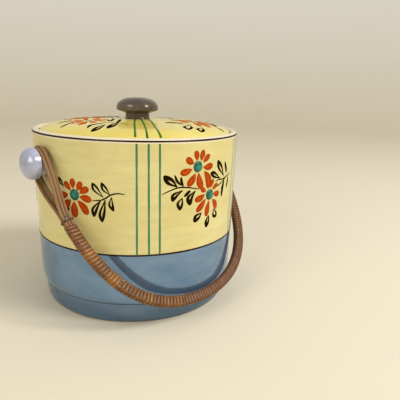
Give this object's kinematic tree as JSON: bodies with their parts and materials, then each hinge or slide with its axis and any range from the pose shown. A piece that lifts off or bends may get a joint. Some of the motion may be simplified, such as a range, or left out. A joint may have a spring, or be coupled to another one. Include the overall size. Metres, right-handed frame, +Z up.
{
  "type": "biscuit jar",
  "caption": "Round glazed biscuit jar with an inset lid, a disc knob, two ear knobs and a wrapped cane handle that swings over the lid.",
  "frame": {"origin": "on the jar's axis, in the plane of the foot ring that stands on the table", "axes": "+Z up along the jar's axis, X along the ears' common axis with the right ear at +X, -Y is the side where the handle hangs"},
  "size_m": [0.1872, 0.1611, 0.1517],
  "materials": {
    "jar_glaze": "gloss yellow glaze above, blue lustre below",
    "ear_lustre": "pearl lustre",
    "lid_glaze": "gloss yellow glaze",
    "knob_lustre": "grey-brown lustre",
    "cane": "bare round rattan cane",
    "wire": "dulled iron wire",
    "split_cane": "wound split cane, varnished"
  },
  "bodies": {
    "jar": {"jar_body": "jar_glaze", "ear_left": "ear_lustre", "ear_right": "ear_lustre"},
    "lid": {"lid": "lid_glaze", "lid_knob": "knob_lustre"},
    "handle": {"cane_inner": "cane", "cane_middle": "cane", "cane_outer": "cane", "binding_left": "wire", "binding_right": "wire", "wrap_left": "split_cane", "wrap_middle": "split_cane", "wrap_right": "split_cane"}
  },
  "joints": [
    {"name": "lid_lift", "type": "slide", "parent": "jar", "child": "lid", "axis": [0, 0, 1], "range_m": [0, 0.06]},
    {"name": "handle_swing", "type": "hinge", "parent": "jar", "child": "handle", "pos_m": [0, 0, 0.1083], "axis": [-1, 0, 0], "range_deg": [0, 278]}
  ]
}
